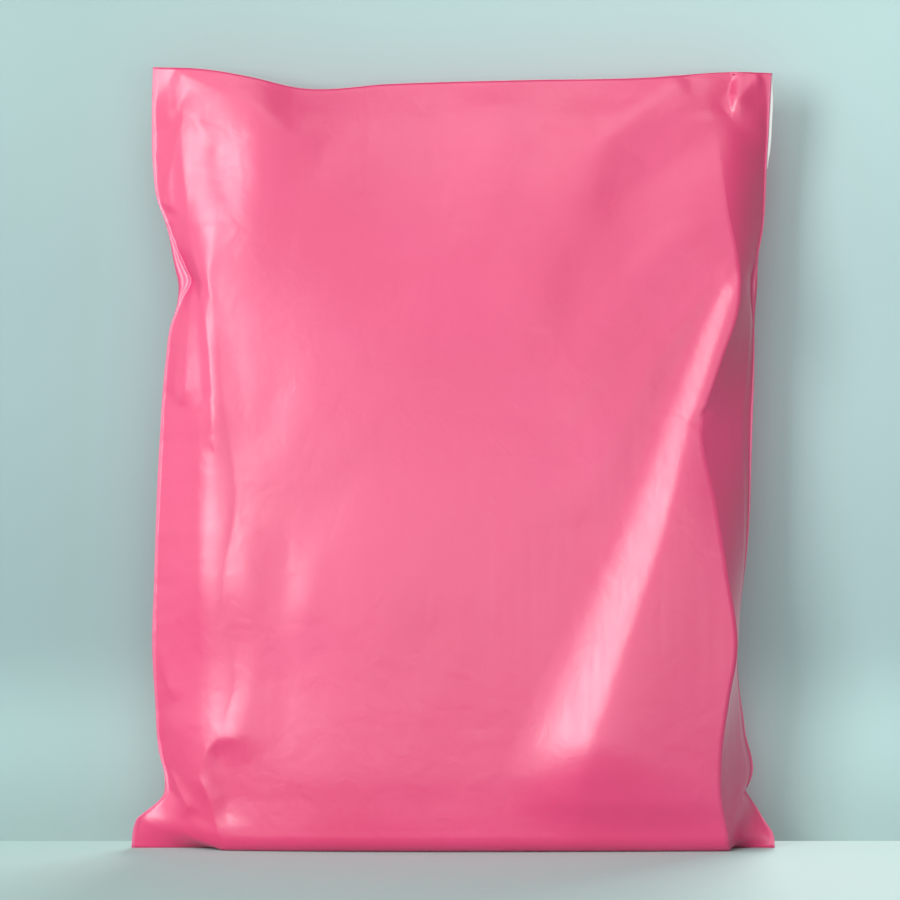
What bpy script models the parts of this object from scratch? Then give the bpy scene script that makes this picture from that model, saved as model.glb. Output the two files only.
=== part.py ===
"""Filled poly mailer bag, sealed, standing on the base that its contents press flat.

Run with: blender --background --python part.py

The bag is made as the real one is: a front and a back panel of film, each a flat grid whose
points are drawn over the contents, joined all round by the side welds, the bottom fold and the
top fold. Beyond the top fold the flap lies sealed down on the back panel, one film thicker.
Metres, +Z up, the front panel faces -Y. The origin is the centre of the footprint, on the floor.
"""

import math

import bmesh
import bpy
import numpy as np

# Lay-flat size of the bag, before it is filled
FLAT_WIDTH = 0.254  # from side weld to side weld, read along the bottom fold
PANEL_LENGTH = 0.330  # of film from the bottom fold to the top fold
FLAP_LENGTH = 0.039  # of film from the top fold to the flap's free edge
WELD_THICKNESS = 0.0006  # both films where they are welded or folded together
FLAP_THICKNESS = 0.0007  # how far the sealed flap stands off the back panel
FLAP_OVERHANG = 0.0018  # how far the flap's right end sticks out past the side weld

# The contents, as they shape the film
BASE_FRONT = 0.019  # floor contact from the bottom fold to the front toe
BASE_BACK = 0.024  # floor contact from the bottom fold to the heel
TOE_RADIUS = 0.007
BELLY_FRONT = 0.006  # how far the front bulges past the toe
BELLY_BACK = 0.003
BULGE_TAKE_UP = 0.0073  # height that the film loses to the curve of the bulge
SIDE_FILM = 0.0285  # of film on each side between the weld and the edge of the contents
DOME_LEFT = 0.40  # share of the depth that is gone at the left edge of the contents
DOME_RIGHT = 0.16
TOP_FOLD_REACH = 0.62  # share of the film below which the top fold's shape isn't felt
FOLD_FADE = 0.15  # share of a fold's length over which it runs out past each end

# How the flat film is divided
SIDE_COLUMNS = 12
MIDDLE_COLUMNS = 26
BASE_ROWS = 4
TOE_ROWS = 4
FACE_ROWS = 40
FLAP_ROWS = 6
CURVE_STEPS = 400  # points at which a curve is read to measure its length

# The side welds wander where the slack film buckles. Each entry: height as a share of the
# standing height; then, in metres, how far the weld is drawn in from the flat half width, how
# far it is drawn forward, and how far the back film stands out sideways past it.
LEFT_WELD = (
    (0.000, 0.0000, 0.0010, 0.0000),
    (0.039, 0.0022, 0.0030, 0.0000),
    (0.062, 0.0105, 0.0050, 0.0010),
    (0.075, 0.0125, 0.0065, 0.0025),
    (0.100, 0.0118, 0.0030, 0.0015),
    (0.190, 0.0095, -0.0020, 0.0000),
    (0.260, 0.0084, -0.0030, 0.0000),
    (0.350, 0.0092, -0.0010, 0.0000),
    (0.520, 0.0112, 0.0010, 0.0000),
    (0.640, 0.0136, 0.0040, 0.0010),
    (0.692, 0.0165, 0.0085, 0.0040),
    (0.728, 0.0226, 0.0125, 0.0075),
    (0.760, 0.0180, 0.0090, 0.0065),
    (0.800, 0.0132, 0.0035, 0.0035),
    (0.840, 0.0090, 0.0000, 0.0000),
    (0.940, 0.0079, -0.0015, 0.0000),
    (1.000, 0.0083, -0.0010, 0.0000),
)
RIGHT_WELD = (
    (0.000, 0.0000, 0.0010, 0.0000),
    (0.018, 0.0010, 0.0000, 0.0000),
    (0.058, 0.0078, -0.0020, 0.0000),
    (0.073, 0.0108, 0.0020, 0.0010),
    (0.083, 0.0093, -0.0035, 0.0000),
    (0.150, 0.0112, -0.0050, 0.0000),
    (0.230, 0.0142, -0.0045, 0.0000),
    (0.300, 0.0138, 0.0000, 0.0000),
    (0.400, 0.0107, 0.0035, 0.0000),
    (0.530, 0.0092, 0.0040, 0.0000),
    (0.680, 0.0082, 0.0030, 0.0010),
    (0.735, 0.0092, 0.0070, 0.0030),
    (0.760, 0.0074, 0.0050, 0.0015),
    (0.800, 0.0047, 0.0010, 0.0000),
    (0.880, 0.0031, -0.0010, 0.0000),
    (0.950, 0.0020, 0.0000, 0.0000),
    (1.000, 0.0013, 0.0010, 0.0000),
)

# Edge of the contents, where the film turns from a face to a side. Each entry: height as a
# share of the standing height, how far the edge lies in from the flat half width, in metres,
# and how round the turn is, from 0 for a sharp one to 1 for none at all.
LEFT_EDGE = (
    (0.000, 0.0370, 0.40),
    (0.060, 0.0320, 0.40),
    (0.150, 0.0290, 0.50),
    (0.500, 0.0284, 0.60),
    (0.760, 0.0284, 0.40),
    (0.850, 0.0270, 0.50),
    (1.000, 0.0285, 0.80),
)
RIGHT_EDGE = (
    (0.000, 0.0180, 0.30),
    (0.063, 0.0210, 0.20),
    (0.115, 0.0205, 0.20),
    (0.250, 0.0155, 0.25),
    (0.372, 0.0210, 0.35),
    (0.451, 0.0250, 0.30),
    (0.553, 0.0300, 0.20),
    (0.626, 0.0230, 0.20),
    (0.700, 0.0155, 0.25),
    (0.744, 0.0150, 0.30),
    (0.823, 0.0195, 0.50),
    (0.922, 0.0240, 0.70),
    (1.000, 0.0285, 0.80),
)

# Depth of each panel up the middle of the bag: height as a share of the standing height, and
# depth as a share of the full depth of that panel.
FRONT_DEPTH = (
    (0.00, 0.70),
    (0.06, 0.80),
    (0.18, 0.96),
    (0.34, 1.00),
    (0.52, 0.95),
    (0.68, 0.84),
    (0.80, 0.68),
    (0.89, 0.46),
    (0.95, 0.25),
    (1.00, 0.00),
)
BACK_DEPTH = (
    (0.00, 0.86),
    (0.08, 0.93),
    (0.25, 1.00),
    (0.50, 0.96),
    (0.70, 0.82),
    (0.84, 0.60),
    (0.93, 0.34),
    (1.00, 0.00),
)

# The top fold, from the left weld to the right one: place as a share of the width, height above
# or below the standing height, and how far it leans forward, in metres.
TOP_FOLD = (
    (0.00, 0.0047, -0.0010),
    (0.08, 0.0036, 0.0020),
    (0.16, 0.0003, 0.0040),
    (0.24, -0.0038, 0.0015),
    (0.40, -0.0017, -0.0040),
    (0.60, -0.0004, -0.0030),
    (0.80, 0.0002, 0.0015),
    (0.94, 0.0023, 0.0030),
    (1.00, 0.0020, 0.0010),
)

# Folds in a panel, as seen from the front. Upper end and lower end, each as a share of the flat
# half width and of the standing height; then, in metres, how far the film stands out there
# (less than nothing is a valley), and how wide the fold is on its left and on its right.
FRONT_FOLDS = (
    ((0.880, 0.720), (0.680, 0.400), 0.0046, 0.014, 0.045),
    ((0.680, 0.400), (0.390, 0.060), 0.0050, 0.017, 0.045),
    ((0.700, 0.950), (0.440, 0.810), 0.0018, 0.016, 0.012),
    ((0.874, 0.950), (0.488, 0.830), -0.0020, 0.013, 0.016),
    ((-0.840, 0.900), (-0.810, 0.740), 0.0012, 0.006, 0.012),
    ((-0.790, 0.730), (-0.745, 0.580), 0.0012, 0.005, 0.009),
    ((-0.775, 0.560), (-0.780, 0.296), 0.0008, 0.008, 0.012),
    ((-0.860, 0.961), (-0.540, 0.900), 0.0014, 0.010, 0.009),
    ((-0.640, 0.380), (-0.660, 0.160), 0.0014, 0.014, 0.010),
    ((-0.770, 0.158), (-0.800, 0.050), 0.0018, 0.008, 0.006),
    ((-0.713, 0.131), (-0.705, 0.045), -0.0018, 0.006, 0.008),
)
BACK_FOLDS = (
    ((-0.790, 0.725), (-0.400, 0.380), 0.0030, 0.018, 0.012),
    ((0.820, 0.740), (0.470, 0.620), 0.0026, 0.010, 0.016),
    ((0.200, 0.600), (-0.180, 0.840), 0.0018, 0.024, 0.020),
    ((0.860, 0.230), (0.620, 0.060), -0.0026, 0.010, 0.010),
    ((-0.560, 0.210), (-0.760, 0.060), 0.0026, 0.008, 0.014),
    ((0.780, 0.520), (0.790, 0.250), 0.0018, 0.016, 0.008),
)

FILM_PINK = (0.83, 0.13, 0.27, 1.0)


def smooth_step(share):
    share = np.clip(share, 0, 1)
    return share * share * (3 - 2 * share)


def smooth_read(places, values, at):
    """Reads a smooth curve through the values, with no corners, at each place in at."""
    places, values = np.array(places), np.array(values)
    slopes = np.gradient(values, places)
    span = np.clip(np.searchsorted(places, at, side="right") - 1, 0, len(places) - 2)
    gap = places[span + 1] - places[span]
    share = np.clip((at - places[span]) / gap, 0, 1)
    rise = smooth_step(share)
    leave = gap * share * (1 - share) ** 2
    arrive = gap * share**2 * (1 - share)
    return (
        values[span] * (1 - rise)
        + values[span + 1] * rise
        + slopes[span] * leave
        - slopes[span + 1] * arrive
    )


def read_along(up, *coordinates):
    """Reads a curve at each share of its own length, so that film neither stretches nor gathers."""
    steps = [np.diff(values) for values in coordinates]
    walked = np.concatenate([[0], np.cumsum(np.sqrt(sum(step**2 for step in steps)))])
    return [np.interp(up * walked[-1], walked, values) for values in coordinates]


def standing_height():
    """Height of the middle of the top fold: the film that is left once the base has its share."""
    return PANEL_LENGTH - BASE_FRONT - BULGE_TAKE_UP


def edge_of_contents():
    """Place of the edge of the contents across the film, where its middle is 0 and a weld is 1."""
    return 1 - 2 * SIDE_FILM / FLAT_WIDTH


def film_across():
    """Places of the grid's columns across the film, from -1 at the left weld to 1 at the right."""
    edge = edge_of_contents()
    right = np.linspace(edge, 1, SIDE_COLUMNS + 1)
    middle = np.linspace(-edge, edge, MIDDLE_COLUMNS + 1)
    return np.concatenate([-right[::-1], middle[1:-1], right])


def film_up():
    """Places of the grid's rows up the film, from 0 at the bottom fold to 1 at the top fold."""
    toe_start = BASE_FRONT - TOE_RADIUS
    toe_end = toe_start + TOE_RADIUS * math.pi / 2
    flap_edge = PANEL_LENGTH - FLAP_LENGTH
    lengths = [
        np.linspace(0, toe_start, BASE_ROWS + 1)[:-1],
        np.linspace(toe_start, toe_end, TOE_ROWS + 1)[:-1],
        np.linspace(toe_end, flap_edge, FACE_ROWS + 1),
        np.linspace(flap_edge + FLAP_THICKNESS, PANEL_LENGTH, FLAP_ROWS + 1),
    ]
    return np.concatenate(lengths) / PANEL_LENGTH


def middle_section(base, belly, depth_table, up):
    """Depth and height of the film up the middle of a panel: along the floor from the bottom
    fold, round the toe, then up the face to the top fold."""
    turn = np.linspace(0, math.pi / 2, CURVE_STEPS)
    toe_depth = base - TOE_RADIUS + TOE_RADIUS * np.sin(turn)
    toe_height = TOE_RADIUS * (1 - np.cos(turn))

    shares, depths = zip(*depth_table)
    face_height = np.linspace(TOE_RADIUS, standing_height(), CURVE_STEPS)[1:]
    face_depth = (base + belly) * smooth_read(shares, depths, face_height / standing_height())
    off_toe = base - face_depth[0]
    face_depth += off_toe * np.exp(-(face_height - TOE_RADIUS) / (3 * TOE_RADIUS))

    depth = np.concatenate([[0], toe_depth, face_depth])
    height = np.concatenate([[0], toe_height, face_height])
    return read_along(up, depth, height)


def side_weld(weld_table, up):
    """How far a side weld lies from the middle, how far it is drawn forward, its height, and how
    far the back film stands out past it."""
    shares, drawn_in, forward, stand_out = zip(*weld_table)
    at = np.linspace(0, 1, CURVE_STEPS)
    from_middle = FLAT_WIDTH / 2 - smooth_read(shares, drawn_in, at)
    drawn = smooth_read(shares, forward, at)
    x, y, z = read_along(up, from_middle, drawn, at * standing_height())
    return x, y, z, smooth_read(shares, stand_out, z / standing_height())


def contents_edge(edge_table, height):
    """How far the edge of the contents lies from the middle, and how round the film turns there."""
    shares, inset, roundness = zip(*edge_table)
    at = height / standing_height()
    return FLAT_WIDTH / 2 - smooth_read(shares, inset, at), smooth_read(shares, roundness, at)


def fold_relief(folds, x, z):
    """How far the folds push the film out at each point: soft on both flanks and at the ends."""
    relief = np.zeros_like(x)
    scale = np.array([FLAT_WIDTH / 2, standing_height()])
    for upper, lower, stand_out, left_width, right_width in folds:
        start_x, start_z = upper * scale
        run_x, run_z = lower * scale - upper * scale
        length = math.hypot(run_x, run_z)
        along = ((x - start_x) * run_x + (z - start_z) * run_z) / length**2
        beside = ((z - start_z) * run_x - (x - start_x) * run_z) / length
        width = np.where(beside > 0, right_width, left_width)
        from_end = np.minimum(along, 1 - along) + FOLD_FADE
        relief += stand_out * np.exp(-((beside / width) ** 2)) * smooth_step(from_end / (2 * FOLD_FADE))
    return relief


def panel_points(outward, base, belly, depth_table, folds, across, up):
    """Points of one panel, as rows of columns of (x, y, z). outward is -1 on the front panel."""
    depth, height = (values[:, None] for values in middle_section(base, belly, depth_table, up))
    left_side = [*side_weld(LEFT_WELD, up), *contents_edge(LEFT_EDGE, height[:, 0])]
    right_side = [*side_weld(RIGHT_WELD, up), *contents_edge(RIGHT_EDGE, height[:, 0])]
    weld_x, forward, weld_z, stand_out, edge_x, roundness = (
        np.where(across < 0, left[:, None], right[:, None])
        for left, right in zip(left_side, right_side)
    )

    share = edge_of_contents()
    from_weld = np.clip((1 - np.abs(across)) / (1 - share), 0, 1)
    over_contents = np.clip(across / share, -1, 1)
    swell = from_weld * (1 + roundness * (1 - from_weld))
    dome = 1 - np.where(across < 0, DOME_LEFT, DOME_RIGHT) * over_contents**2

    slack = stand_out * 4 * from_weld * (1 - from_weld) * (outward > 0)
    to_side = edge_x * np.abs(over_contents) + (weld_x - edge_x) * (1 - from_weld) + slack
    x = np.sign(across) * to_side
    weld_y = -forward

    places, rises, leans = zip(*TOP_FOLD)
    at_top = smooth_step((up[:, None] - TOP_FOLD_REACH) / (1 - TOP_FOLD_REACH))
    rise = at_top * smooth_read(places, rises, (across + 1) / 2)
    lean = at_top * smooth_read(places, leans, (across + 1) / 2)
    y = weld_y * (1 - swell) + outward * depth * swell * dome - lean
    z = weld_z * (1 - swell) + height * swell + rise

    off_floor = smooth_step(z / (3 * TOE_RADIUS))
    off_weld = np.clip(2 * from_weld, 0, 1)
    y += outward * fold_relief(folds, x, z) * off_floor * off_weld
    return np.stack([x, y, z], axis=2)


def part_films(front, back, up):
    """Holds the panels a film apart where they meet, and lays the flap on the back panel."""
    middle = (front[:, :, 1] + back[:, :, 1]) / 2
    front[:, :, 1] = np.minimum(front[:, :, 1], middle - WELD_THICKNESS / 2)
    back[:, :, 1] = np.maximum(back[:, :, 1], middle + WELD_THICKNESS / 2)
    under_flap = up > 1 - (FLAP_LENGTH - FLAP_THICKNESS / 2) / PANEL_LENGTH
    back[under_flap, :, 1] += FLAP_THICKNESS
    back[under_flap, -1, 0] += FLAP_OVERHANG


def add_film(bm, points):
    """Adds a flat grid of film, then draws each of its points to its place on the filled bag."""
    rows, columns = points.shape[:2]
    film = bmesh.ops.create_grid(bm, x_segments=columns - 1, y_segments=rows - 1, size=1)
    row_by_row = sorted(film["verts"], key=lambda vert: (round(vert.co.y * rows), vert.co.x))
    for vert, point in zip(row_by_row, points.reshape(-1, 3)):
        vert.co = point


def mailer_bag():
    """Both panels drawn over the contents and joined all round into one closed body."""
    across, up = film_across(), film_up()
    front = panel_points(-1, BASE_FRONT, BELLY_FRONT, FRONT_DEPTH, FRONT_FOLDS, across, up)
    back = panel_points(1, BASE_BACK, BELLY_BACK, BACK_DEPTH, BACK_FOLDS, across, up)
    part_films(front, back, up)
    points = np.concatenate([front.reshape(-1, 3), back.reshape(-1, 3)])
    origin = (points.min(axis=0) + points.max(axis=0)) / 2
    origin[2] = points[:, 2].min()

    bm = bmesh.new()
    add_film(bm, front - origin)
    add_film(bm, back - origin)
    bmesh.ops.bridge_loops(bm, edges=[edge for edge in bm.edges if edge.is_boundary])
    bmesh.ops.triangulate(bm, faces=bm.faces)
    bmesh.ops.recalc_face_normals(bm, faces=bm.faces)
    mesh = bpy.data.meshes.new("mailer_bag")
    bm.to_mesh(mesh)
    bm.free()
    mesh.shade_smooth()
    mesh.set_sharp_from_angle(angle=math.radians(50))
    bag = bpy.data.objects.new("mailer_bag", mesh)
    bpy.context.scene.collection.objects.link(bag)
    return bag


def pink_film():
    """Glossy coloured polythene film."""
    material = bpy.data.materials.new("pink_film")
    material.use_nodes = True
    shader = material.node_tree.nodes["Principled BSDF"]
    shader.inputs["Base Color"].default_value = FILM_PINK
    shader.inputs["Roughness"].default_value = 0.38
    shader.inputs["Metallic"].default_value = 0.0
    return material


def main():
    for obj in list(bpy.data.objects):
        bpy.data.objects.remove(obj)
    bag = mailer_bag()
    bag.data.materials.append(pink_film())


main()
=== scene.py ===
# Sealed poly mailer bag of pink film, filled and standing on its flattened base.
# One strip of film: front panel, back panel and flap. The front panel faces -Y, the flap is on +Y.

import math

import bpy
import numpy as np
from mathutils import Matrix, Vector


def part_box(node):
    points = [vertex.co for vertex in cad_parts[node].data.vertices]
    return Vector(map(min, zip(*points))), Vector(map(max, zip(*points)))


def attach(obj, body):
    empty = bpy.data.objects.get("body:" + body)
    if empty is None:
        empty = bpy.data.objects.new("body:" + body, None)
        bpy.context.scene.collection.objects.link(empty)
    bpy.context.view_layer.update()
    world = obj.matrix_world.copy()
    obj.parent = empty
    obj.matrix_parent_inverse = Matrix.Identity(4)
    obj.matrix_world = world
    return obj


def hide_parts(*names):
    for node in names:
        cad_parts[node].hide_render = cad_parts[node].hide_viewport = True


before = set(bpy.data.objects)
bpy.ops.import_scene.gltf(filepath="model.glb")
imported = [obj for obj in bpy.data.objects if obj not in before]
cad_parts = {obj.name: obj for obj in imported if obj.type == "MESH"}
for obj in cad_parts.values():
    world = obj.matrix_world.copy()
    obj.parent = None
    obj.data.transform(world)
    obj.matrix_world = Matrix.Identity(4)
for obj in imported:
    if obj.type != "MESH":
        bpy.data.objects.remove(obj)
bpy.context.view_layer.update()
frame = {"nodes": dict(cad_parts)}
print("frame loaded:", ", ".join(frame["nodes"]))


# Curves and soft steps

def smoothStep(share):
    share = np.clip(share, 0, 1)
    return share * share * (3 - 2 * share)


def smoothRead(places, values, at):
    # a curve through the values with no corners, read at each place in at
    places, values = np.array(places), np.array(values)
    slopes = np.gradient(values, places)
    span = np.clip(np.searchsorted(places, at, side="right") - 1, 0, len(places) - 2)
    gap = places[span + 1] - places[span]
    share = np.clip((at - places[span]) / gap, 0, 1)
    rise = smoothStep(share)
    leave = gap * share * (1 - share) ** 2
    arrive = gap * share**2 * (1 - share)
    level = values[span] * (1 - rise) + values[span + 1] * rise
    return level + slopes[span] * leave - slopes[span + 1] * arrive


def readAlong(up, *coordinates):
    # a curve read at each share of its own length, so that the film neither stretches nor gathers
    steps = [np.diff(values) for values in coordinates]
    walked = np.concatenate([[0], np.cumsum(np.sqrt(sum(step**2 for step in steps)))])
    return [np.interp(up * walked[-1], walked, values) for values in coordinates]


# The bag's film, drawn over its contents. Lengths in metres.
bag = {
    "flatWidth": 0.254,  # from weld to weld
    "panelLength": 0.330,  # from bottom fold to top fold
    "baseFront": 0.0235,  # floor contact from the bottom fold to the front toe
    "baseBack": 0.024,
    "toeRadius": 0.007,
    "bellyFront": 0.0015,  # how far the front bulges past the toe
    "bellyBack": 0.003,
    "bulgeTakeUp": 0.0028,  # film that the bulge takes from the height
    "sideFilm": 0.0285,  # film on each side from the weld to the edge of the contents
    "domeLeft": 0.30,  # share of the depth that is gone at the edge of the contents
    "domeLeftPower": 2.6,
    "domeRight": 0.16,
    "domeRightPower": 2,
    "slackPlace": 0.18,  # where the back film's slack fold lies, as a share of the side film
    "slackCurl": 0.2,  # how far the slack turns forward, as a share of how far it stands out
    "topFoldReach": 0.62,  # share of the film below which the top fold's wave isn't felt
    "calmAtTop": 0.012,  # film below the top fold on which the small relief runs out
    "weldThickness": 0.0003,
    "flange": 0.0011,  # flat strip along each weld
    "curveSteps": 400,
    "flangeColumns": 3,
    "sideColumns": 52,
    "middleColumns": 120,
    "baseRows": 12,
    "toeRows": 14,
    "faceRows": 280,
}

# height share, drawn in, drawn forward, back film standing out past the weld
leftWeld = (
    (0.000, 0.0000, 0.0010, 0.0000),
    (0.034, 0.0017, 0.0025, 0.0000),
    (0.039, 0.0024, 0.0028, 0.0000),
    (0.044, 0.0042, 0.0030, 0.0004),
    (0.062, 0.0110, 0.0035, 0.0018),
    (0.073, 0.0138, 0.0040, 0.0032),
    (0.090, 0.0136, 0.0035, 0.0024),
    (0.125, 0.0110, 0.0020, 0.0004),
    (0.190, 0.0095, 0.0020, 0.0000),
    (0.260, 0.0084, 0.0030, 0.0000),
    (0.350, 0.0092, 0.0035, 0.0000),
    (0.520, 0.0112, 0.0035, 0.0000),
    (0.633, 0.0138, 0.0040, 0.0000),
    (0.676, 0.0156, 0.0045, 0.0004),
    (0.711, 0.0198, 0.0050, 0.0030),
    (0.736, 0.0234, 0.0050, 0.0062),
    (0.750, 0.0212, 0.0045, 0.0054),
    (0.790, 0.0158, 0.0030, 0.0030),
    (0.838, 0.0098, 0.0010, 0.0005),
    (0.870, 0.0085, -0.0005, 0.0000),
    (0.940, 0.0079, -0.0015, 0.0000),
    (1.000, 0.0083, -0.0010, 0.0000),
)
rightWeld = (
    (0.000, 0.0000, 0.0010, 0.0000),
    (0.014, 0.0003, 0.0005, 0.0000),
    (0.021, 0.0009, 0.0000, 0.0000),
    (0.027, 0.0022, -0.0004, 0.0000),
    (0.060, 0.0086, -0.0016, 0.0004),
    (0.070, 0.0108, 0.0010, 0.0010),
    (0.0745, 0.0119, 0.0022, 0.0010),
    (0.079, 0.0106, -0.0010, 0.0004),
    (0.086, 0.0093, -0.0035, 0.0000),
    (0.150, 0.0112, -0.0050, 0.0000),
    (0.230, 0.0142, -0.0045, 0.0000),
    (0.300, 0.0138, 0.0000, 0.0000),
    (0.400, 0.0107, 0.0035, 0.0000),
    (0.530, 0.0092, 0.0040, 0.0000),
    (0.680, 0.0082, 0.0030, 0.0010),
    (0.735, 0.0092, 0.0070, 0.0030),
    (0.760, 0.0074, 0.0050, 0.0015),
    (0.800, 0.0047, 0.0010, 0.0000),
    (0.880, 0.0031, -0.0010, 0.0000),
    (0.950, 0.0020, 0.0000, 0.0000),
    (1.000, 0.0013, 0.0010, 0.0000),
)
# height share, how far in from the flat half width, roundness of the turn
leftEdge = (
    (0.000, 0.0370, 0.40),
    (0.060, 0.0360, 0.55),
    (0.120, 0.0340, 0.65),
    (0.220, 0.0420, 0.86),
    (0.340, 0.0370, 0.84),
    (0.450, 0.0420, 0.88),
    (0.580, 0.0370, 0.80),
    (0.680, 0.0340, 0.70),
    (0.736, 0.0310, 0.60),
    (0.800, 0.0340, 0.65),
    (0.880, 0.0380, 0.70),
    (1.000, 0.0360, 0.80),
)
rightEdge = (
    (0.000, 0.0187, 0.10),
    (0.030, 0.0203, 0.08),
    (0.070, 0.0226, 0.08),
    (0.120, 0.0226, 0.08),
    (0.197, 0.0195, 0.10),
    (0.255, 0.0165, 0.20),
    (0.372, 0.0210, 0.35),
    (0.451, 0.0250, 0.30),
    (0.553, 0.0300, 0.12),
    (0.626, 0.0230, 0.12),
    (0.700, 0.0155, 0.20),
    (0.744, 0.0150, 0.30),
    (0.823, 0.0195, 0.50),
    (0.922, 0.0240, 0.70),
    (1.000, 0.0285, 0.80),
)
# height share, share of the panel's full depth
frontDepth = (
    (0.00, 0.98),
    (0.06, 1.00),
    (0.18, 1.00),
    (0.34, 0.99),
    (0.52, 0.95),
    (0.68, 0.84),
    (0.80, 0.68),
    (0.89, 0.46),
    (0.95, 0.25),
    (1.00, 0.00),
)
backDepth = (
    (0.00, 0.86),
    (0.08, 0.93),
    (0.25, 1.00),
    (0.50, 0.96),
    (0.70, 0.82),
    (0.84, 0.60),
    (0.93, 0.34),
    (1.00, 0.00),
)
# place across, rise, lean forward
topFold = (
    (0.00, 0.0047, -0.0010),
    (0.08, 0.0036, 0.0020),
    (0.16, 0.0003, 0.0040),
    (0.24, -0.0038, 0.0015),
    (0.40, -0.0017, -0.0040),
    (0.60, -0.0004, -0.0030),
    (0.80, 0.0002, 0.0015),
    (0.94, 0.0023, 0.0030),
    (1.00, 0.0020, 0.0010),
)

# Creases, in millimetres. The points (x, z) run along the crease, from its top or from its left;
# then how far it stands out, its width on the left (or below) and on the right (or above), how
# soft its crest is from 0 to 1, how small it starts, and how far it fades in and out.
frontCreases = (
    # from the right pinch down across the face
    (
        ((114, 226), (104, 196), (95, 167), (84, 122), (74, 91), (61, 52), (49, 22)),
        9.2, 32, 90, 0.22, 0.34, 16, 50,
    ),
    (((110, 231), (96, 215), (78, 192), (64, 165), (52, 136)), 1.2, 18, 14, 0.60, 0.30, 16, 44),
    (((96, 244), (77, 227), (62, 204), (47, 172)), 0.8, 18, 16, 0.70, 0.60, 24, 40),
    (((99, 173), (94, 166)), -0.7, 2.5, 5, 0.05, 1.00, 3, 1),
    # upper right
    (((90, 303), (73, 291), (59, 279), (55, 262), (53, 246)), 2.7, 30, 26, 0.20, 0.50, 8, 26),
    (((113, 290), (96, 276), (77, 263), (55, 250)), -2.4, 24, 34, 0.25, 0.70, 10, 26),
    (((42, 241), (36, 225), (33, 206)), 0.8, 24, 14, 0.60, 1.00, 24, 24),
    (((110, 306), (108.5, 297), (109.5, 290)), -1.7, 22, 4, 0.04, 1.00, 0, 6),
    (((121, 304), (116, 299), (109, 291)), 1.0, 6, 7, 0.12, 1.00, 2, 4),
    # left pinch, upwards
    (((-107, 284), (-106, 268), (-104, 248), (-102, 236), (-100, 226)), 0.8, 5, 16, 0.14, 1.00, 30, 10),
    (((-108, 286), (-111, 270), (-115, 252)), 1.4, 9, 12, 0.03, 0.60, 8, 6),
    (((-119, 288), (-109, 291.5), (-102, 288), (-94, 278)), 1.1, 12, 18, 0.08, 0.60, 6, 16),
    (((-99, 287), (-93, 275), (-91, 258)), -0.9, 14, 18, 0.16, 0.70, 16, 26),
    (((-109, 306), (-94, 300), (-74, 290), (-60, 278)), 1.2, 18, 16, 0.08, 0.60, 6, 36),
    (((-99, 244), (-88, 244.4)), 0.14, 1.6, 3, 0.20, 1.00, 8, 8),
    # left pinch, downwards
    (((-100, 226), (-98, 214), (-95.5, 196), (-94, 177), (-94, 160)), 0.9, 5, 14, 0.14, 0.50, 8, 26),
    (((-95, 177), (-99, 173)), 0.25, 2, 3, 0.10, 1.00, 2, 2),
    (((-98.5, 173), (-99, 149), (-99.5, 114), (-99, 83)), 0.5, 6, 14, 0.30, 1.00, 10, 60),
    (((-102.5, 220), (-104.5, 200), (-106, 176)), 0.9, 9, 7, 0.05, 0.40, 6, 10),
    (((-114, 183), (-106, 177)), 0.4, 4, 12, 0.06, 1.00, 4, 6),
    # lower left
    (((-116, 79), (-113.5, 68), (-110, 60)), 0.7, 5, 9, 0.04, 0.60, 4, 6),
    (((-82, 124), (-79, 83), (-81, 60), (-86, 40)), 1.5, 30, 18, 0.30, 1.00, 50, 16),
    (
        ((-84, 44.5), (-91, 44), (-96, 40), (-99, 33), (-102, 23), (-106, 14)),
        1.2, 14, 10, 0.06, 0.50, 16, 10,
    ),
    (((-93, 42), (-90, 31), (-88.5, 21), (-90, 11)), -1.2, 8, 16, 0.08, 0.60, 12, 8),
    (((-99, 28), (-95, 20), (-92.5, 10), (-91.5, 3)), 0.8, 4, 5, 0.10, 1.00, 10, 0),
    (((-111, 30), (-107.5, 23), (-103, 15)), 0.9, 6, 5, 0.04, 0.60, 4, 6),
    (((-71.5, 70), (-71, 29)), 0.10, 1.5, 3.0, 0.20, 1.00, 14, 10),
    (((-71, 29), (-13, 28), (65, 33)), 0.12, 9, 18, 0.50, 1.00, 24, 34),
    # lower right
    (((114, 25), (110.5, 15), (108.5, 3)), 0.8, 4, 4, 0.12, 1.00, 2, 1),
)
backCreases = (
    (((100, 220), (76, 170), (52, 115)), 3.2, 14, 20, 0.35, 0.30, 6, 40),
    (((-104, 225), (-82, 208), (-60, 188)), 2.8, 18, 11, 0.30, 0.40, 4, 24),
    (((26, 184), (2, 220), (-22, 256)), 1.8, 22, 24, 0.60, 1.00, 30, 30),
    (((-108, 70), (-92, 44), (-78, 18)), -2.6, 11, 11, 0.25, 0.50, 5, 8),
    (((72, 64), (84, 40), (96, 18)), 2.6, 14, 9, 0.25, 1.00, 16, 5),
    (((-99, 158), (-100, 118), (-99, 76)), 1.7, 8, 15, 0.35, 1.00, 20, 24),
    (((104, 150), (101, 120), (102, 84)), 1.4, 12, 7, 0.30, 1.00, 16, 20),
    (((-60, 262), (-72, 236), (-88, 216)), 1.3, 12, 9, 0.30, 1.00, 14, 6),
    (((62, 262), (78, 240), (94, 226)), 1.5, 10, 12, 0.30, 1.00, 14, 5),
    (((-30, 26), (20, 30), (60, 27)), 0.5, 8, 12, 0.50, 1.00, 20, 26),
)
creasePower = 1.6  # how soon the flanks of a crease run out
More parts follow.
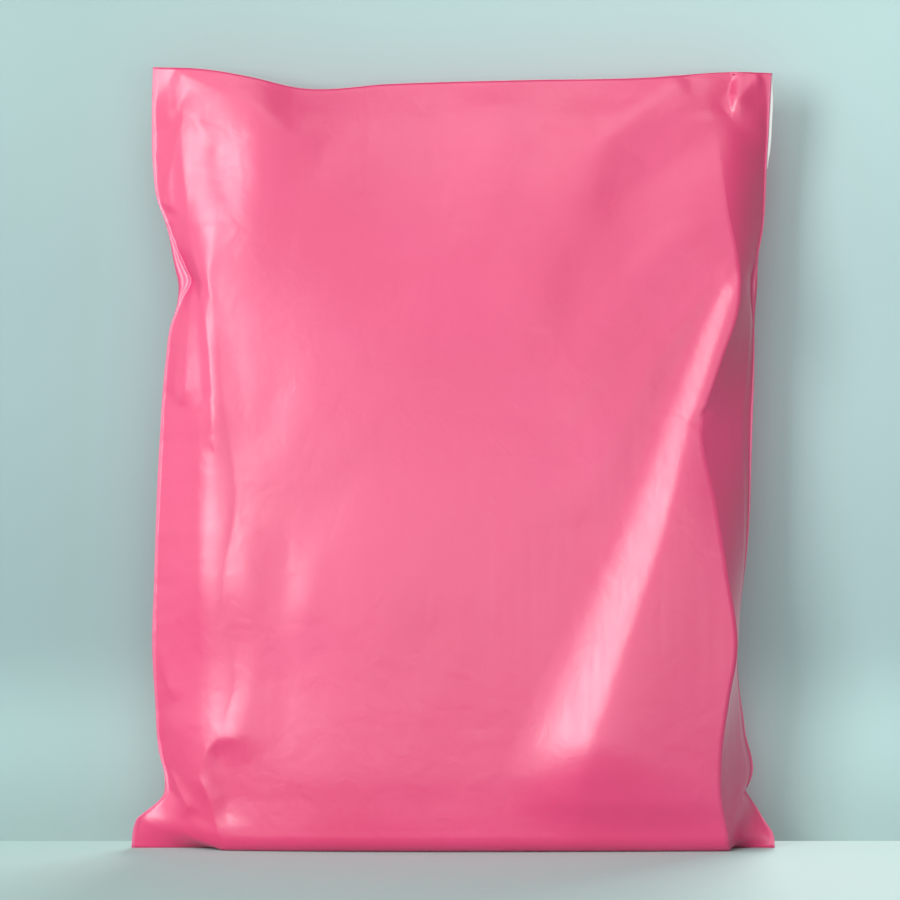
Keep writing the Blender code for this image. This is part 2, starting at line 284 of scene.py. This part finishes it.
puckers = {
    "lowest": 0.012,
    "highest": 0.96,  # share of the standing height
    "spacing": 0.011,
    "height": 0.00045,
    "length": 0.012,
    "width": 0.0016,
    "spread": 0.12,  # how much wider for each length that it runs in
    "spacings": (0.5, 1.6),
    "lengths": (0.5, 1.5),
    "widths": (0.7, 1.6),
    "slantSpread": 0.3,
    "seed": 7,
}
undulation = {
    "count": 60,
    "across": (-0.95, 0.95),  # shares of the half width and of the standing height
    "up": (0.05, 0.97),
    "height": 0.00034,
    "width": 0.011,
    "widths": (0.6, 1.7),
    "stretch": 2.4,
    "lean": 0.36,
    "leanSpread": 0.35,
    "seed": 3,
}

standingHeight = bag["panelLength"] - bag["baseFront"] - bag["bulgeTakeUp"]
halfFlat = bag["flatWidth"] / 2
edgeShare = 1 - 2 * bag["sideFilm"] / bag["flatWidth"]
flangeShare = 1 - 2 * bag["flange"] / bag["flatWidth"]


def filmAcross():
    flange = np.linspace(flangeShare, 1, bag["flangeColumns"] + 1)
    side = np.linspace(edgeShare, flangeShare, bag["sideColumns"] + 1)
    middle = np.linspace(-edgeShare, edgeShare, bag["middleColumns"] + 1)
    right = np.concatenate([side[:-1], flange])
    return np.concatenate([-right[::-1], middle[1:-1], right])


def filmUp():
    toeStart = bag["baseFront"] - bag["toeRadius"]
    toeEnd = toeStart + bag["toeRadius"] * math.pi / 2
    lengths = [
        np.linspace(0, toeStart, bag["baseRows"] + 1)[:-1],
        np.linspace(toeStart, toeEnd, bag["toeRows"] + 1)[:-1],
        np.linspace(toeEnd, bag["panelLength"], bag["faceRows"] + 1),
    ]
    return np.concatenate(lengths) / bag["panelLength"]


def middleSection(base, belly, depthTable, up):
    # depth and height of one panel at the middle of the bag: base, toe, face
    radius = bag["toeRadius"]
    turn = np.linspace(0, math.pi / 2, bag["curveSteps"])
    toeDepth = base - radius + radius * np.sin(turn)
    toeHeight = radius * (1 - np.cos(turn))
    shares, depths = zip(*depthTable)
    faceHeight = np.linspace(radius, standingHeight, bag["curveSteps"])[1:]
    faceDepth = (base + belly) * smoothRead(shares, depths, faceHeight / standingHeight)
    offToe = base - faceDepth[0]
    faceDepth += offToe * np.exp(-(faceHeight - radius) / (3 * radius))  # so that the face meets the toe
    depth = np.concatenate([[0], toeDepth, faceDepth])
    height = np.concatenate([[0], toeHeight, faceHeight])
    return readAlong(up, depth, height)


def sideWeld(weldTable, up):
    shares, drawnIn, forward, standOut = zip(*weldTable)
    at = np.linspace(0, 1, 2 * bag["curveSteps"])
    fromMiddle = halfFlat - smoothRead(shares, drawnIn, at)
    x, y, z = readAlong(up, fromMiddle, smoothRead(shares, forward, at), at * standingHeight)
    return x, y, z, smoothRead(shares, standOut, z / standingHeight)


def contentsEdge(edgeTable, height):
    shares, inset, roundness = zip(*edgeTable)
    at = height / standingHeight
    return halfFlat - smoothRead(shares, inset, at), smoothRead(shares, roundness, at)


def creaseRelief(creases, x, z):
    relief = np.zeros_like(x)
    for points, standOut, leftWidth, rightWidth, softness, startSize, fadeIn, fadeOut in creases:
        corners = np.array(points) / 1000
        runs = np.diff(corners, axis=0)
        lengths = np.hypot(runs[:, 0], runs[:, 1])
        walked = np.concatenate([[0], np.cumsum(lengths)])
        nearest = np.full_like(x, np.inf)
        beside = np.zeros_like(x)
        along = np.zeros_like(x)
        for corner, run, length, start in zip(corners, runs, lengths, walked):
            share = ((x - corner[0]) * run[0] + (z - corner[1]) * run[1]) / length**2
            held = np.clip(share, 0, 1)
            away = np.hypot(x - corner[0] - held * run[0], z - corner[1] - held * run[1])
            side = np.sign((z - corner[1]) * run[0] - (x - corner[0]) * run[1])
            closer = away < nearest
            nearest = np.where(closer, away, nearest)
            beside = np.where(closer, side * away, beside)
            along = np.where(closer, start + share * length, along)
        whole = walked[-1]
        size = startSize + (1 - startSize) * smoothStep(along / whole)
        width = size * np.where(beside > 0, rightWidth, leftWidth) / 1000
        out = np.abs(beside) / width
        crown = (np.sqrt(out**2 + softness**2) - softness) / (math.hypot(1, softness) - softness)
        profile = np.clip(1 - crown, 0, 1) ** creasePower
        # half of each fade lies past the crease's end
        into = smoothStep((along + fadeIn / 2000) / (fadeIn / 1000 + 1e-5))
        outOf = smoothStep((whole - along + fadeOut / 2000) / (fadeOut / 1000 + 1e-5))
        relief += standOut / 1000 * size * profile * into * outOf
    return relief


def undulationRelief(seed, x, z):
    # soft hollows and hills of film over uneven contents, leaning as the long creases do
    rng = np.random.default_rng(undulation["seed"] + seed)
    relief = np.zeros_like(x)
    for index in range(undulation["count"]):
        centreX = rng.uniform(*undulation["across"]) * halfFlat
        centreZ = rng.uniform(*undulation["up"]) * standingHeight
        lean = undulation["lean"] + rng.normal(0, undulation["leanSpread"])
        width = undulation["width"] * rng.uniform(*undulation["widths"])
        height = undulation["height"] * rng.normal(0, 1)
        across = (x - centreX) * math.cos(lean) - (z - centreZ) * math.sin(lean)
        along = (x - centreX) * math.sin(lean) + (z - centreZ) * math.cos(lean)
        reach = width * undulation["stretch"]
        relief += height * np.exp(-((across / width) ** 2) - (along / reach) ** 2)
    return relief


def puckerRelief(seed, fromWeld, z):
    # short gathers that run in from a weld
    rng = np.random.default_rng(puckers["seed"] + seed)
    inward = fromWeld * bag["sideFilm"]
    relief = np.zeros_like(z)
    place = puckers["lowest"]
    while place < puckers["highest"] * standingHeight:
        length = puckers["length"] * rng.uniform(*puckers["lengths"])
        width = puckers["width"] * rng.uniform(*puckers["widths"])
        height = puckers["height"] * rng.uniform(-1, 1)
        slant = rng.normal(0, puckers["slantSpread"])
        off = (z - place - slant * inward) / (width + puckers["spread"] * inward)
        relief += height * np.exp(-(off**2) - inward / length)
        place += puckers["spacing"] * rng.uniform(*puckers["spacings"])
    return relief


def panelPoints(outward, base, belly, depthTable, creases, across, up):
    # one panel as a grid of points; outward is -1 for the front and 1 for the back
    depth, height = (values[:, None] for values in middleSection(base, belly, depthTable, up))
    leftSide = [*sideWeld(leftWeld, up), *contentsEdge(leftEdge, height[:, 0])]
    rightSide = [*sideWeld(rightWeld, up), *contentsEdge(rightEdge, height[:, 0])]
    weldX, forward, weldZ, standOut, edgeX, roundness = (
        np.where(across < 0, left[:, None], right[:, None]) for left, right in zip(leftSide, rightSide)
    )
    fromWeld = np.clip((1 - np.abs(across)) / (1 - edgeShare), 0, 1)
    flange = bag["flange"] / bag["sideFilm"]
    fromFlange = np.clip((fromWeld - flange) / (1 - flange), 0, 1)
    swell = fromFlange * (1 + roundness * (1 - fromFlange))
    away = np.clip(np.abs(across) / edgeShare, 0, 1)
    leftDome = bag["domeLeft"] * away ** bag["domeLeftPower"]
    rightDome = bag["domeRight"] * away ** bag["domeRightPower"]
    dome = 1 - np.where(across < 0, leftDome, rightDome)
    slackAt = fromWeld / bag["slackPlace"]
    slack = standOut * slackAt * np.exp(1 - slackAt) * (outward > 0)  # on the back only
    toSide = edgeX * away + (weldX - edgeX) * (1 - fromWeld) + slack
    x = np.sign(across) * toSide
    places, rises, leans = zip(*topFold)
    atTop = smoothStep((up[:, None] - bag["topFoldReach"]) / (1 - bag["topFoldReach"]))
    rise = atTop * smoothRead(places, rises, (across + 1) / 2)
    lean = atTop * smoothRead(places, leans, (across + 1) / 2)
    y = -forward * (1 - swell) + outward * depth * swell * dome - lean - bag["slackCurl"] * slack
    z = weldZ * (1 - swell) + height * swell + rise
    offFloor = smoothStep(z / (3 * bag["toeRadius"]))
    offFold = smoothStep((1 - up[:, None]) * bag["panelLength"] / bag["calmAtTop"])
    offWeld = np.clip(6 * fromFlange, 0, 1)  # whole from a sixth of the side film on
    folds = creaseRelief(creases, x, z) * offFloor
    folds = folds + undulationRelief(int(outward), x, z) * offFloor * offFold
    gathers = puckerRelief(int(outward), fromWeld, z) * offFloor * offFold
    y = y + outward * folds * offWeld - gathers * (across > 0) + gathers * (across < 0)
    return np.stack([x, y, z], axis=2)


def gridCells(rows, columns):
    cell = (np.arange(rows - 1)[:, None] * columns + np.arange(columns - 1)).ravel()
    return np.stack([cell, cell + 1, cell + columns + 1, cell + columns], axis=1)


def gridRim(rows, columns):
    bottom = np.arange(columns)
    right = np.arange(1, rows) * columns + columns - 1
    top = (rows - 1) * columns + np.arange(columns - 2, -1, -1)
    left = np.arange(rows - 2, -1, -1) * columns
    return np.concatenate([bottom, right, top, left])


def closedFilm(name, front, back):
    # both sides as one closed mesh; each cell of the back's rim meets one or two of the front's
    rows, columns = front.shape[:2]
    backRows, backColumns = back.shape[:2]
    count = rows * columns
    fine = (rows - 1) // (backRows - 1)
    frontRim, backRim = gridRim(rows, columns), gridRim(backRows, backColumns) + count
    faces = gridCells(rows, columns).tolist()
    faces += (gridCells(backRows, backColumns)[:, ::-1] + count).tolist()
    for index in range(len(backRim) - 1):
        along = frontRim[index * fine : (index + 1) * fine + 1][::-1].tolist()
        faces.append([*along, int(backRim[index]), int(backRim[index + 1])])
    points = np.concatenate([front.reshape(-1, 3), back.reshape(-1, 3)])
    mesh = bpy.data.meshes.new(name)
    mesh.from_pydata(points.tolist(), [], faces)
    mesh.update()
    mesh.shade_smooth()
    piece = bpy.data.objects.new(name, mesh)
    bpy.context.scene.collection.objects.link(piece)
    return piece


def makeBag():
    across, up = filmAcross(), filmUp()
    front = panelPoints(-1, bag["baseFront"], bag["bellyFront"], frontDepth, frontCreases, across, up)
    back = panelPoints(1, bag["baseBack"], bag["bellyBack"], backDepth, backCreases, across, up)
    middle = (front[:, :, 1] + back[:, :, 1]) / 2
    half = bag["weldThickness"] / 2
    front[:, :, 1] = np.minimum(front[:, :, 1], middle - half)
    back[:, :, 1] = np.maximum(back[:, :, 1], middle + half)
    low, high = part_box("mailer_bag")
    points = np.concatenate([front.reshape(-1, 3), back.reshape(-1, 3)])
    toMiddle = (low[1] + high[1]) / 2 - (points[:, 1].min() + points[:, 1].max()) / 2
    shift = np.array([0, toMiddle, low[2] - points[:, 2].min()])
    # the back needs only every other row and column
    piece = closedFilm("bagFilm", front + shift, back[::2, ::2] + shift)
    # painted highlight mask: the flat strip along each weld, which the film's material paints paler
    onWeld = np.where(np.abs(across) > flangeShare, 1.0, 0.0)
    masks = [np.broadcast_to(onWeld, (len(up), len(across))).ravel()]
    masks.append(np.broadcast_to(onWeld[::2], (len(up[::2]), len(across[::2]))).ravel())
    mask = piece.data.attributes.new("weldHighlight", "FLOAT", "POINT")
    mask.data.foreach_set("value", np.concatenate(masks).astype(np.float32))
    return piece, back + shift, across, up


# The flap: the front film carried over the top fold and glued down on the back
flap = {
    "length": 0.039,
    "gap": 0.00015,
    "thickness": 0.0002,
    "overhang": 0.0013,  # how far the right end sticks out past the weld
    "overhangRun": 0.03,  # share of the half width inside the flange on which it grows
    "overhangAtEdge": 0.35,  # share of it that is left at the fold and at the free edge
    "bowAtEdge": 0.010,
    "bowAtFold": 0.012,
    "riseAtFold": 0.0001,  # how far it stands above the top fold
    "riseRun": 0.004,
    "glueFrom": 0.007,  # the glue strip, from the flap's free edge
    "glueTo": 0.027,
    "glueRise": 0.00012,
    "glueRun": 0.0015,
}


def makeFlap(back, across, up):
    fromTop = (1 - up) * bag["panelLength"]
    covered = fromTop <= flap["length"]
    film = back[covered]
    fromEdge = flap["length"] - fromTop[covered][:, None]
    out = np.cross(np.gradient(film, axis=0), np.gradient(film, axis=1))
    out /= np.linalg.norm(out, axis=2, keepdims=True)
    inner = film + out * flap["gap"]
    toFold = flap["length"] - fromEdge
    startsAt = flangeShare - flap["overhangRun"]
    atEnd = smoothStep((across - startsAt) / (1 - startsAt))
    bow = smoothStep(fromEdge / flap["bowAtEdge"]) * smoothStep(toFold / flap["bowAtFold"])
    bow = flap["overhangAtEdge"] + (1 - flap["overhangAtEdge"]) * bow
    inner[:, :, 0] += flap["overhang"] * atEnd * bow
    inner[:, :, 2] += flap["riseAtFold"] * smoothStep(1 - toFold / flap["riseRun"])
    intoGlue = smoothStep((fromEdge - flap["glueFrom"]) / flap["glueRun"])
    outOfGlue = smoothStep((flap["glueTo"] - fromEdge) / flap["glueRun"])
    thickness = flap["thickness"] + flap["glueRise"] * intoGlue * outOfGlue
    outer = inner + out * thickness[:, :, None]
    piece = closedFilm("flapFilm", inner, outer)
    cells = (inner.shape[0] - 1) * (inner.shape[1] - 1)
    for polygon in piece.data.polygons[:cells]:
        polygon.material_index = 1  # the inner side is white
    return piece


# Materials

def addNode(tree, kind, links=(), **values):
    # a node with its input values by socket name, and its links as (output socket, input name)
    node = tree.nodes.new(kind)
    for name, value in values.items():
        node.inputs[name.replace("_", " ")].default_value = value
    for output, name in links:
        tree.links.new(output, node.inputs[name])
    return node


def addMath(tree, operation, first, second):
    node = tree.nodes.new("ShaderNodeMath")
    node.operation = operation
    for place, value in enumerate((first, second)):
        if isinstance(value, (int, float)):
            node.inputs[place].default_value = value
        else:
            tree.links.new(value, node.inputs[place])
    return node.outputs[0]


def mixColours(tree, factor, first, second):
    # first and second are sockets or plain colours
    mix = tree.nodes.new("ShaderNodeMix")
    mix.data_type = "RGBA"
    tree.links.new(factor, mix.inputs["Factor"])
    for name, colour in (("A", first), ("B", second)):
        if isinstance(colour, tuple):
            mix.inputs[name].default_value = (*colour, 1)
        else:
            tree.links.new(colour, mix.inputs[name])
    return mix.outputs["Result"]


def distanceFade(tree, place, facts):
    # 0 near the middle of a piece, 1 far from it
    away = addNode(tree, "ShaderNodeVectorMath", [(place, 0)])
    away.operation = "LENGTH"
    fade = addNode(tree, "ShaderNodeMapRange", [(away.outputs["Value"], "Value")])
    fade.interpolation_type = "SMOOTHSTEP"
    fade.inputs["From Min"].default_value = facts["fadeFrom"]
    fade.inputs["From Max"].default_value = facts["fadeTo"]
    return fade.outputs["Result"]


filmGrain = {
    "peelScale": 1300,
    "peelShare": 0.05,
    "streakScale": (420, 420, 9),  # narrow across the film and long up it
    "streakShare": 0.06,
}


def makeSurfaceGroup():
    # fine relief of blown film: crinkles, orange peel and the die's streaks up the film
    group = bpy.data.node_groups.new("filmSurface", "ShaderNodeTree")
    face = group.interface
    face.new_socket("Crinkle Scale", in_out="INPUT", socket_type="NodeSocketFloat")
    face.new_socket("Cloud Scale", in_out="INPUT", socket_type="NodeSocketFloat")
    face.new_socket("Height", in_out="OUTPUT", socket_type="NodeSocketFloat")
    face.new_socket("Cloud", in_out="OUTPUT", socket_type="NodeSocketFloat")
    face.new_socket("Streak", in_out="OUTPUT", socket_type="NodeSocketFloat")
    given = group.nodes.new("NodeGroupInput")
    place = group.nodes.new("ShaderNodeTexCoord").outputs["Object"]
    scaled = [(place, "Vector"), (given.outputs["Crinkle Scale"], "Scale")]
    crinkle = addNode(group, "ShaderNodeTexNoise", scaled, Detail=3, Roughness=0.5, Distortion=0.6)
    peel = addNode(group, "ShaderNodeTexNoise", [(place, "Vector")], Scale=filmGrain["peelScale"], Detail=1)
    stretch = addNode(group, "ShaderNodeMapping", [(place, "Vector")], Scale=filmGrain["streakScale"])
    streak = addNode(group, "ShaderNodeTexNoise", [(stretch.outputs[0], "Vector")], Scale=1, Detail=2)
    clouded = [(place, "Vector"), (given.outputs["Cloud Scale"], "Scale")]
    cloud = addNode(group, "ShaderNodeTexNoise", clouded, Detail=2, Roughness=0.45)
    fine = addMath(group, "MULTIPLY", peel.outputs["Fac"], filmGrain["peelShare"])
    lines = addMath(group, "MULTIPLY", streak.outputs["Fac"], filmGrain["streakShare"])
    height = addMath(group, "ADD", crinkle.outputs["Fac"], addMath(group, "ADD", fine, lines))
    result = group.nodes.new("NodeGroupOutput")
    group.links.new(height, result.inputs["Height"])
    group.links.new(cloud.outputs["Fac"], result.inputs["Cloud"])
    group.links.new(streak.outputs["Fac"], result.inputs["Streak"])
    return group


pinkFilm = {
    "colour": (0.74, 0.042, 0.170),
    "deep": (0.69, 0.030, 0.140),
    "weldHighlight": (0.74, 0.085, 0.22),  # painted highlight: the weld's flat strip is painted paler, for the bright line along the weld edge
    "specular": 0.95,
    "roughness": (0.30, 0.40),
    "cloudScale": 16,
    "clouds": (0.3, 0.7),
    "crinkleScale": 95,
    "crinkleDepth": 0.00022,
}
whiteFilm = {
    "colour": (0.82, 0.80, 0.79),
    "deep": (0.74, 0.71, 0.71),
    "weldHighlight": (0.84, 0.82, 0.81),
    "specular": 0.95,
    "roughness": (0.38, 0.50),
    "cloudScale": 16,
    "clouds": (0.3, 0.7),
    "crinkleScale": 95,
    "crinkleDepth": 0.00022,
}


def makeFilmMaterial(name, facts, surface):
    material = bpy.data.materials.new(name)
    material.use_nodes = True
    tree = material.node_tree
    shader = tree.nodes["Principled BSDF"]
    shader.inputs["Specular IOR Level"].default_value = facts["specular"]
    group = tree.nodes.new("ShaderNodeGroup")
    group.node_tree = surface
    group.inputs["Crinkle Scale"].default_value = facts["crinkleScale"]
    group.inputs["Cloud Scale"].default_value = facts["cloudScale"]
    low, high = facts["clouds"]
    clouds = [(group.outputs["Cloud"], "Value")]
    cloud = addNode(tree, "ShaderNodeMapRange", clouds, From_Min=low, From_Max=high)
    tone = mixColours(tree, cloud.outputs["Result"], facts["deep"], facts["colour"])
    # painted highlight: the weld's flat strip gets a paler colour for the bright line along it
    edge = tree.nodes.new("ShaderNodeAttribute")
    edge.attribute_name = "weldHighlight"
    highlighted = mixColours(tree, edge.outputs["Fac"], tone, facts["weldHighlight"])
    tree.links.new(highlighted, shader.inputs["Base Color"])
    low, high = facts["roughness"]
    streaks = [(group.outputs["Streak"], "Value")]
    rough = addNode(tree, "ShaderNodeMapRange", streaks, To_Min=low, To_Max=high)
    tree.links.new(rough.outputs["Result"], shader.inputs["Roughness"])
    bump = addNode(tree, "ShaderNodeBump", [(group.outputs["Height"], "Height")], Strength=1)
    bump.inputs["Distance"].default_value = facts["crinkleDepth"]
    tree.links.new(bump.outputs["Normal"], shader.inputs["Normal"])
    return material


# Camera, floor and light
camera = {"distance": 1.6, "height": 0.157, "aside": -0.0012, "viewWidth": 0.355}


def makeCamera():
    data = bpy.data.cameras.new("camera")
    data.lens = data.sensor_width * camera["distance"] / camera["viewWidth"]
    data.clip_end = 50
    made = bpy.data.objects.new("camera", data)
    made.location = (camera["aside"], -camera["distance"], camera["height"])
    made.rotation_euler = (math.pi / 2, 0, 0)
    bpy.context.scene.collection.objects.link(made)
    bpy.context.scene.camera = made


lamps = {
    "softboxLeft": {"at": (-1.16, -1.62, 0.62), "size": (0.75, 1.0), "watts": 23.5},
    "softboxSide": {"at": (-1.50, -0.35, 0.50), "size": (1.2, 1.2), "watts": 5},
    "softboxFront": {"at": (0.25, -2.6, 0.45), "size": (2.3, 2.6), "watts": 14},
    "softboxLow": {"at": (0.20, -1.9, 0.06), "size": (2.6, 0.12), "watts": 5},
    "softboxTop": {"at": (-0.2, -1.7, 1.95), "size": (1.7, 1.0), "watts": 13.5},
    "softboxBack": {"at": (0.7, 2.1, 0.9), "size": (1.4, 1.0), "watts": 34},
}
lampTarget = Vector((0, 0, 0.15))


def makeLamps():
    for name, facts in lamps.items():
        data = bpy.data.lights.new(name, "AREA")
        data.shape = "RECTANGLE"
        data.size, data.size_y = facts["size"]
        data.energy = facts["watts"]
        lamp = bpy.data.objects.new(name, data)
        lamp.location = facts["at"]
        lamp.rotation_euler = (lampTarget - lamp.location).to_track_quat("-Z", "Y").to_euler()
        bpy.context.scene.collection.objects.link(lamp)


backdrop = {"colour": (0.42, 0.60, 0.585), "fill": (0.75, 0.80, 0.80), "fillStrength": 0.26}


def makeWorld():
    # rays from the camera, mirrored ones and those through clear things see the backdrop's colour
    world = bpy.data.worlds.new("studio")
    bpy.context.scene.world = world
    world.use_nodes = True
    tree = world.node_tree
    tree.nodes.clear()
    path = tree.nodes.new("ShaderNodeLightPath")
    seen = addMath(tree, "MAXIMUM", path.outputs["Is Camera Ray"], path.outputs["Is Glossy Ray"])
    seen = addMath(tree, "MAXIMUM", seen, path.outputs["Is Transmission Ray"])
    fill = addNode(tree, "ShaderNodeBackground", Color=(*backdrop["fill"], 1))
    fill.inputs["Strength"].default_value = backdrop["fillStrength"]
    shown = addNode(tree, "ShaderNodeBackground", Color=(*backdrop["colour"], 1), Strength=1)
    mix = addNode(tree, "ShaderNodeMixShader", [(seen, 0), (fill.outputs[0], 1), (shown.outputs[0], 2)])
    addNode(tree, "ShaderNodeOutputWorld", [(mix.outputs[0], "Surface")])


def makeStageMaterial(name, facts):
    material = bpy.data.materials.new(name)
    material.use_nodes = True
    shader = material.node_tree.nodes["Principled BSDF"]
    shader.inputs["Roughness"].default_value = facts["roughness"]
    shader.inputs["Specular IOR Level"].default_value = facts["specular"]
    return material, material.node_tree, shader


floor = {
    "radius": 6.0,
    "corners": 96,
    "colour": (0.49, 0.73, 0.69),
    "roughness": 0.7,
    "specular": 0.5,
    "fadeFrom": 0.25,
    "fadeTo": 1.4,
}


def makeFloor():
    mesh = bpy.data.meshes.new("floor")
    turn = np.linspace(0, 2 * math.pi, floor["corners"], endpoint=False)
    points = [(floor["radius"] * math.cos(a), floor["radius"] * math.sin(a), 0) for a in turn]
    mesh.from_pydata(points, [], [list(range(floor["corners"]))])
    piece = bpy.data.objects.new("floor", mesh)
    bpy.context.scene.collection.objects.link(piece)
    material, tree, shader = makeStageMaterial("paleFloor", floor)
    shader.inputs["Base Color"].default_value = (*floor["colour"], 1)
    place = tree.nodes.new("ShaderNodeTexCoord").outputs["Object"]
    left = addMath(tree, "SUBTRACT", 1, distanceFade(tree, place, floor))
    tree.links.new(left, shader.inputs["Alpha"])
    mesh.materials.append(material)


wall = {
    "behind": 0.001,  # how far it stands behind the solid's box
    "halfWidth": 1.2,
    "height": 1.1,
    "roughness": 0.8,
    "specular": 0.2,
    "fadeFrom": 0.34,
    "fadeTo": 0.62,
    "liftFrom": -0.15,
    "liftTo": 0.18,
    "paintedRightLight": 1.32,  # painted light: how much lighter it gets from liftFrom to liftTo
    # painted light: the wall steps darker and lighter with height, with a painted light band just above the
    # floor
    "paintedLightBands": (
        (0.000, (0.32, 0.43, 0.42)),
        (0.125, (0.37, 0.51, 0.50)),
        (0.250, (0.30, 0.41, 0.41)),
        (0.600, (0.34, 0.46, 0.46)),
        (1.000, (0.38, 0.52, 0.51)),
    ),
    "levelHeight": 0.34,  # height of the uppermost level; the others are shares of it
}


def makeWall():
    # seen from the front only, where it carries the bag's shadow; no other ray meets it
    side, top = wall["halfWidth"], wall["height"]
    mesh = bpy.data.meshes.new("wall")
    mesh.from_pydata([(-side, 0, 0), (side, 0, 0), (side, 0, top), (-side, 0, top)], [], [(0, 1, 2, 3)])
    piece = bpy.data.objects.new("wall", mesh)
    piece.location = (0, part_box("mailer_bag")[1][1] + wall["behind"], 0)
    piece.visible_diffuse = False
    piece.visible_glossy = False
    piece.visible_transmission = False
    piece.visible_shadow = False
    bpy.context.scene.collection.objects.link(piece)
    material, tree, shader = makeStageMaterial("paleWall", wall)
    place = tree.nodes.new("ShaderNodeTexCoord").outputs["Object"]
    split = addNode(tree, "ShaderNodeSeparateXYZ", [(place, "Vector")])
    level = addMath(tree, "DIVIDE", split.outputs["Z"], wall["levelHeight"])
    # painted light bands up the wall, read from the height
    ramp = addNode(tree, "ShaderNodeValToRGB", [(level, "Fac")])
    ramp.color_ramp.interpolation = "EASE"
    marks = ramp.color_ramp.elements
    for height, colour in wall["paintedLightBands"][1:-1]:
        marks.new(height)
    for mark, (height, colour) in zip(marks, wall["paintedLightBands"]):
        mark.color = (*colour, 1)
    # painted light: lighter towards the right, away from the lamps
    lift = addNode(tree, "ShaderNodeMapRange", [(split.outputs["X"], "Value")])
    lift.inputs["From Min"].default_value = wall["liftFrom"]
    lift.inputs["From Max"].default_value = wall["liftTo"]
    lift.inputs["To Min"].default_value = 1
    lift.inputs["To Max"].default_value = wall["paintedRightLight"]
    lifted = addNode(tree, "ShaderNodeVectorMath", [(ramp.outputs["Color"], 0)])
    lifted.operation = "SCALE"
    tree.links.new(lift.outputs["Result"], lifted.inputs["Scale"])
    tree.links.new(lifted.outputs["Vector"], shader.inputs["Base Color"])
    back = tree.nodes.new("ShaderNodeNewGeometry").outputs["Backfacing"]
    gone = addMath(tree, "MAXIMUM", distanceFade(tree, place, wall), back)
    tree.links.new(addMath(tree, "SUBTRACT", 1, gone), shader.inputs["Alpha"])
    mesh.materials.append(material)


makeCamera()
makeLamps()
makeWorld()
makeFloor()
makeWall()
print("stage done")

bagFilm, backPoints, columnsAcross, rowsUp = makeBag()
filmSurface = makeSurfaceGroup()
pinkMaterial = makeFilmMaterial("pinkFilm", pinkFilm, filmSurface)
whiteMaterial = makeFilmMaterial("whiteInnerFilm", whiteFilm, filmSurface)
bagFilm.data.materials.append(pinkMaterial)
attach(bagFilm, "root")
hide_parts("mailer_bag")
print("bag done")

flapFilm = makeFlap(backPoints, columnsAcross, rowsUp)
flapFilm.data.materials.append(pinkMaterial)
flapFilm.data.materials.append(whiteMaterial)
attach(flapFilm, "root")
print("flap done")

bpy.context.scene.view_settings.view_transform = "Standard"
bpy.context.view_layer.update()
